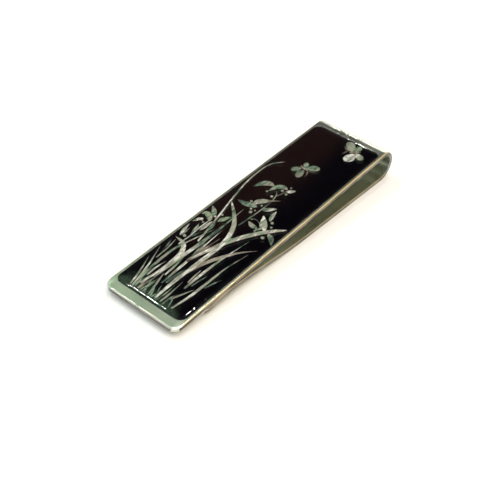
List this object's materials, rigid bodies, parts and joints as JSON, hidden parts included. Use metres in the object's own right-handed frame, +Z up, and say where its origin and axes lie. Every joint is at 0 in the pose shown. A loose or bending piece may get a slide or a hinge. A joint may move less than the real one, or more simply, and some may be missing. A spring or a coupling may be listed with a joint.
{
  "type": "money clip",
  "caption": "Slim U-shaped spring-steel money clip, its front face inlaid with shell grass, leaves and butterflies on black lacquer under a clear resin dome.",
  "frame": {"origin": "bottom centre of the clip's bounding box, on the table that the rear leg lies on", "axes": "+Y along the clip from its open near end to the bend, +Z up through the inlaid front plate, +X across the strip"},
  "size_m": [0.02, 0.0764, 0.0083],
  "materials": {
    "polished_steel": "polished stainless spring steel, fine polishing lines",
    "adhesive": "thin film",
    "black_lacquer": "deep gloss black lacquer",
    "pale_shell": "mother-of-pearl, green and silver play of colour",
    "rose_shell": "mother-of-pearl, pink play of colour",
    "clear_resin": "clear cast resin, glossy"
  },
  "bodies": {
    "base": {"rear_leg": "polished_steel", "spring_bend": "polished_steel"},
    "front": {"front_plate": "polished_steel", "inlay_adhesive": "adhesive", "lacquer_panel": "black_lacquer", "grass_blade_01": "pale_shell", "grass_blade_02": "pale_shell", "grass_blade_03": "pale_shell", "grass_blade_04": "pale_shell", "grass_blade_05": "pale_shell", "grass_blade_06": "pale_shell", "grass_blade_07": "pale_shell", "grass_blade_08": "rose_shell", "grass_blade_09": "pale_shell", "grass_blade_10": "pale_shell", "grass_blade_11": "rose_shell", "grass_blade_12": "pale_shell", "grass_blade_13": "pale_shell", "grass_blade_14": "pale_shell", "grass_blade_15": "pale_shell", "grass_blade_16": "pale_shell", "grass_blade_17": "pale_shell", "grass_blade_18": "pale_shell", "grass_blade_19": "pale_shell", "grass_blade_20": "pale_shell", "grass_blade_21": "pale_shell", "grass_blade_22": "pale_shell", "grass_blade_23": "rose_shell", "long_stem": "pale_shell", "sprig_stem": "pale_shell", "sprig_twig": "pale_shell", "side_stem": "pale_shell", "sprig_leaf_01": "pale_shell", "sprig_leaf_02": "pale_shell", "sprig_leaf_03": "pale_shell", "sprig_leaf_04": "pale_shell", "sprig_leaf_05": "pale_shell", "sprig_leaf_06": "pale_shell", "sprig_leaf_07": "pale_shell", "sprig_leaf_08": "pale_shell", "sprig_leaf_09": "pale_shell", "sprig_leaf_10": "pale_shell", "side_leaf_01": "pale_shell", "side_leaf_02": "pale_shell", "side_leaf_03": "pale_shell", "side_leaf_04": "pale_shell", "side_leaf_05": "pale_shell", "side_leaf_06": "pale_shell", "side_leaf_07": "pale_shell", "near_butterfly_wing_1": "pale_shell", "near_butterfly_wing_2": "pale_shell", "near_butterfly_wing_3": "pale_shell", "near_butterfly_wing_4": "pale_shell", "far_butterfly_wing_1": "pale_shell", "far_butterfly_wing_2": "pale_shell", "far_butterfly_wing_3": "pale_shell", "far_butterfly_wing_4": "pale_shell", "near_butterfly_body": "rose_shell", "far_butterfly_body": "rose_shell", "resin_dome": "clear_resin"}
  },
  "joints": [
    {"name": "clip_opening", "type": "hinge", "parent": "base", "child": "front", "pos_m": [0, 0.03424, 0.004], "axis": [-1, 0, 0], "range_deg": [0, 4], "stiffness_Nm_per_rad": 0.5, "springref_deg": -5.73, "deforming": ["spring_bend"]}
  ]
}
